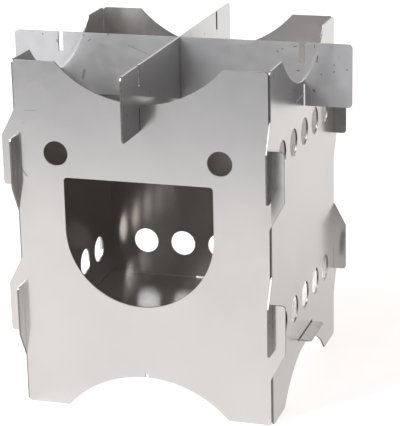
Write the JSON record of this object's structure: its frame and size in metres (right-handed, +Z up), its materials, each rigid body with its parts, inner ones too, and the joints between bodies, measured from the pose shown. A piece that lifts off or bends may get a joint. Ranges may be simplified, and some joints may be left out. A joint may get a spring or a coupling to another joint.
{
  "type": "twig stove",
  "caption": "Flat-pack twig stove: four hooked sheet steel walls, a tabbed floor plate and two crossing pot supports that lift out.",
  "frame": {"origin": "on the ground, in the middle of the firebox", "axes": "+X to the right seen from the feed opening, +Y to the back, +Z up"},
  "size_m": [0.097, 0.097, 0.0967],
  "materials": {
    "wall_steel": "smooth rolled stainless, near mirror",
    "support_steel": "smooth rolled stainless, lightly marked"
  },
  "bodies": {
    "stove": {"front_wall": "wall_steel", "right_wall": "wall_steel", "back_wall": "wall_steel", "left_wall": "wall_steel", "floor_plate": "wall_steel"},
    "lower_support": {"pot_support_lower": "support_steel"},
    "upper_support": {"pot_support_upper": "support_steel"}
  },
  "joints": [
    {"name": "lower_support_lift", "type": "slide", "parent": "stove", "child": "lower_support", "axis": [0, 0, 1], "range_m": [0, 0.02]},
    {"name": "upper_support_lift", "type": "slide", "parent": "lower_support", "child": "upper_support", "axis": [0, 0, 1], "range_m": [0, 0.02]}
  ]
}
